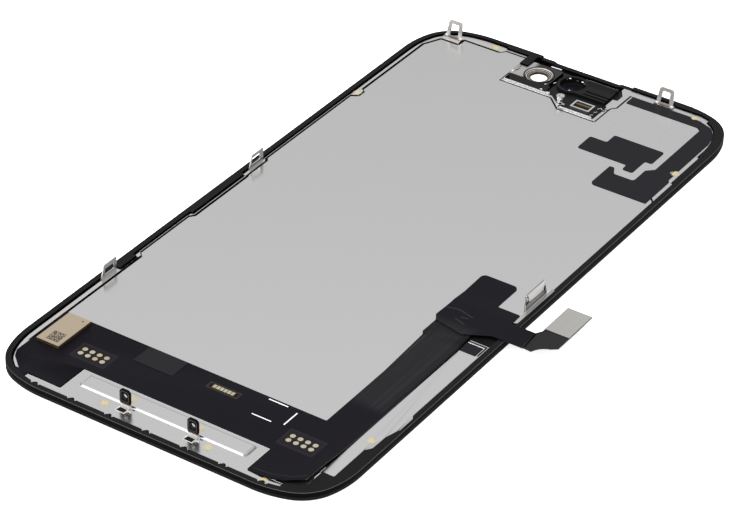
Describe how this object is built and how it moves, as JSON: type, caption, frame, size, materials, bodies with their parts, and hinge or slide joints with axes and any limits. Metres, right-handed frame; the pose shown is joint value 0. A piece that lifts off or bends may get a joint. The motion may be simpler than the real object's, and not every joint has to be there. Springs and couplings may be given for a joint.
{
  "type": "phone lcd screen assembly",
  "caption": "Phone screen assembly seen from the back: rounded glass in a black rim, steel back plates, flat flex circuit with a side tail, sheet clips and a camera well.",
  "frame": {"origin": "centre of the cover glass's front face, which lies on the floor", "axes": "+Z out of the back, away from the glass; +Y along the length to the camera end; +X to the right as seen from the back, where the flex tail leaves"},
  "size_m": [0.0777, 0.144, 0.005],
  "materials": {
    "cover_glass": "polished, dark behind",
    "display_cell": "gloss black",
    "diffuser": "matt white",
    "light_guide": "clear, gloss",
    "reflector": "matt black back",
    "led_bar": "satin",
    "rim": "satin moulded",
    "frame_steel": "satin",
    "strip_steel": "satin",
    "back_plate": "satin rolled",
    "lower_plate": "satin rolled",
    "clip_steel": "bright pressed",
    "bracket_steel": "bright pressed",
    "screw_tab": "black, satin",
    "flex": "satin coverlay",
    "flex_board": "satin",
    "stiffener": "matt grey",
    "connector": "matt",
    "driver_board": "layered brown edge",
    "driver_chip": "matt tan",
    "pad_gold": "plated",
    "contact_gold": "plated",
    "dark_patch": "matt black",
    "tape": "matt black",
    "guide": "turned cone",
    "foam": "matt foam",
    "holder": "satin moulded",
    "sensor_lens": "gloss, bluish",
    "glue": "dried glue"
  },
  "bodies": {
    "root": {"cover_glass": "cover_glass", "display_cell": "display_cell", "diffuser_sheet": "diffuser", "light_guide": "light_guide", "reflector_sheet": "reflector", "led_bar": "led_bar", "rim_frame": "rim", "flange_left": "frame_steel", "flange_top_right": "frame_steel", "flange_bottom_right": "frame_steel", "side_strip": "strip_steel", "back_plate": "back_plate", "lower_plate": "lower_plate", "clip_top_left": "clip_steel", "clip_top_right": "clip_steel", "clip_left_upper": "clip_steel", "clip_left_lower": "clip_steel", "clip_right": "clip_steel", "screw_tab_left": "screw_tab", "screw_tab_right": "screw_tab", "tab_foot_left": "clip_steel", "tab_foot_right": "clip_steel", "flex_main": "flex", "flex_tail": "flex", "flex_head": "flex_board", "tail_stiffener": "stiffener", "board_connector": "connector", "driver_board": "driver_board", "driver_chip": "driver_chip", "pads_left": "pad_gold", "pads_right": "pad_gold", "pads_center": "pad_gold", "dark_patch": "dark_patch", "tape_corner": "tape", "tape_tee": "tape", "tape_small": "tape", "camera_bracket": "bracket_steel", "camera_guide": "guide", "camera_gasket": "foam", "bracket_pin": "clip_steel", "sensor_holder": "holder", "sensor_lens": "sensor_lens", "sensor_socket": "bracket_steel", "sensor_contacts": "contact_gold", "ground_contact": "contact_gold", "glue_spots": "glue"}
  },
  "joints": []
}
